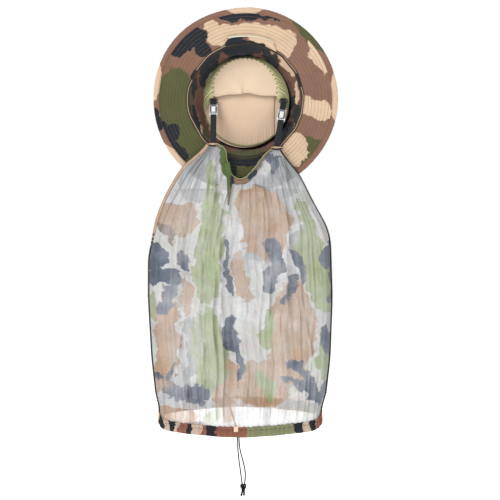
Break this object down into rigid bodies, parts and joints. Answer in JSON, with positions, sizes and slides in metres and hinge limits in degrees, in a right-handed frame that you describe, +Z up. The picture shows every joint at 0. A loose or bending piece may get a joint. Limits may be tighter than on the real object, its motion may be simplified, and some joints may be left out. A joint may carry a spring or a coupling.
{
  "type": "beekeeping veil",
  "caption": "Camouflage bush hat with a sheer head-net veil hung inside its brim on buckled webbing straps, with a drawcord hem.",
  "frame": {"origin": "centre of the head opening, in the plane where brim and crown meet", "axes": "-Y out of the head opening, +Y into the crown, +Z up towards the top of the brim as it hangs, veil down along -Z, +X to the right seen from in front of the opening"},
  "size_m": [0.3214, 0.1454, 0.819],
  "materials": {
    "camo_cotton": "four-colour camouflage cotton, matte",
    "interlining": "stiff woven interlining",
    "binding_tape": "camouflage cotton tape",
    "olive_webbing": "olive woven webbing",
    "eyelet_metal": "black painted brass vent eyelet",
    "green_piping": "pale green piping",
    "sand_cotton": "sand cotton lining",
    "green_gusset": "ruched olive green elastic gusset",
    "black_webbing": "black polyester webbing",
    "bright_metal": "nickel-plated pressed steel",
    "camo_net": "sheer camouflage-printed netting",
    "overlock_thread": "beige overlock stitching",
    "hem_cloth": "camouflage cotton hem casing",
    "black_cord": "black-olive braided cord"
  },
  "bodies": {
    "hat": {"brim_underside_cloth": "camo_cotton", "brim_interlining": "interlining", "brim_upper_cloth": "camo_cotton", "brim_edge_binding": "binding_tape", "crown_side": "camo_cotton", "crown_top": "camo_cotton", "crown_seam_piping": "binding_tape", "sweatband": "camo_cotton", "foliage_band": "olive_webbing", "vent_eyelets": "eyelet_metal", "crown_lining": "camo_cotton", "lining_piping": "green_piping", "pocket_back_panel": "sand_cotton", "pocket_panel": "sand_cotton", "pocket_mouth_hem": "sand_cotton", "pocket_gusset": "green_gusset", "left_anchor_ring": "bright_metal", "left_anchor_tab": "black_webbing", "right_anchor_ring": "bright_metal", "right_anchor_tab": "black_webbing"},
    "left_strap": {"left_upper_strap": "black_webbing", "left_buckle_frame": "bright_metal", "left_buckle_pin": "bright_metal"},
    "left_lever": {"left_buckle_lever": "bright_metal"},
    "left_webbing": {"left_lower_strap": "black_webbing"},
    "right_strap": {"right_upper_strap": "black_webbing", "right_buckle_frame": "bright_metal", "right_buckle_pin": "bright_metal"},
    "right_lever": {"right_buckle_lever": "bright_metal"},
    "right_webbing": {"right_lower_strap": "black_webbing"},
    "veil": {"veil_front_panel": "camo_net", "veil_back_panel": "camo_net", "veil_neck_edging": "overlock_thread", "veil_back_edging": "overlock_thread", "veil_left_seam": "overlock_thread", "veil_right_seam": "camo_net", "left_tie": "black_webbing", "right_tie": "black_webbing", "hem_casing": "hem_cloth", "hem_join_tab": "sand_cotton", "drawcord_in_hem": "black_cord", "drawcord_left_strand": "black_cord", "drawcord_right_strand": "black_cord", "drawcord_knot": "black_cord", "drawcord_tails": "black_cord"}
  },
  "joints": [
    {"name": "left_strap_swing", "type": "hinge", "parent": "hat", "child": "left_strap", "pos_m": [-0.0554, 0.038, 0.0005], "axis": [-1, 0, 0], "range_deg": [0, 50]},
    {"name": "right_strap_swing", "type": "hinge", "parent": "hat", "child": "right_strap", "pos_m": [0.0658, 0.038, 0.0005], "axis": [-1, 0, 0], "range_deg": [0, 50]},
    {"name": "left_strap_length", "type": "slide", "parent": "left_strap", "child": "left_webbing", "axis": [0.0134, -0.5572, -0.8303], "range_m": [0, 0.012]},
    {"name": "right_strap_length", "type": "slide", "parent": "right_strap", "child": "right_webbing", "axis": [-0.1318, -0.523, -0.8421], "range_m": [0, 0.012]},
    {"name": "veil_swing", "type": "hinge", "parent": "left_webbing", "child": "veil", "pos_m": [-0.0542, -0.012, -0.074], "axis": [-0.9984, 0, 0.0558], "range_deg": [0, 60]},
    {"name": "left_lever_open", "type": "hinge", "parent": "left_strap", "child": "left_lever", "pos_m": [-0.05504, 0.02113, -0.02105], "axis": [0.9999, 0.0075, 0.0111], "range_deg": [0, 80]},
    {"name": "right_lever_open", "type": "hinge", "parent": "right_strap", "child": "right_lever", "pos_m": [0.06075, 0.01627, -0.0307], "axis": [0.9913, -0.0695, -0.112], "range_deg": [0, 80]}
  ],
  "couplings": [
    {"joint": "right_strap_swing", "follows": "left_strap_swing", "ratio": 1},
    {"joint": "right_strap_length", "follows": "left_strap_length", "ratio": 0.98}
  ]
}
